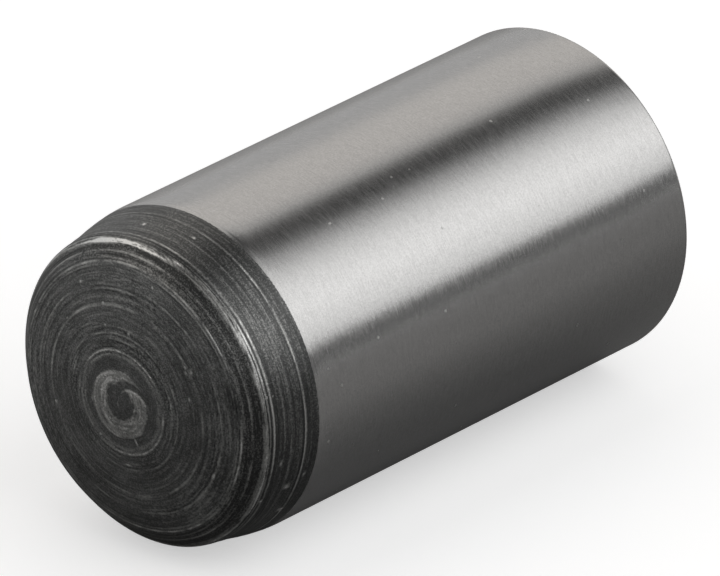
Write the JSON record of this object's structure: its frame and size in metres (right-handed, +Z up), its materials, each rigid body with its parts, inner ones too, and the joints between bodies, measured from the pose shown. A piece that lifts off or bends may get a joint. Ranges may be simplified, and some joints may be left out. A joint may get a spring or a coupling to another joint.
{
  "type": "dowel pin",
  "caption": "Hardened steel dowel pin with a ground shank, a tapered blackened lead-in end and low crowned faces, pressed into bores to line up two parts.",
  "frame": {"origin": "on the pin's axis, halfway between the tips of its two crowned ends", "axes": "+X along the pin's axis towards the tapered lead-in end, +Z up with the pin lying level"},
  "size_m": [0.02, 0.01, 0.01],
  "materials": {
    "pin_steel": "ground bright shank with fine grinding lines round it, black heat-treatment scale on both ends"
  },
  "bodies": {
    "root": {"dowel_pin": "pin_steel"}
  },
  "joints": []
}
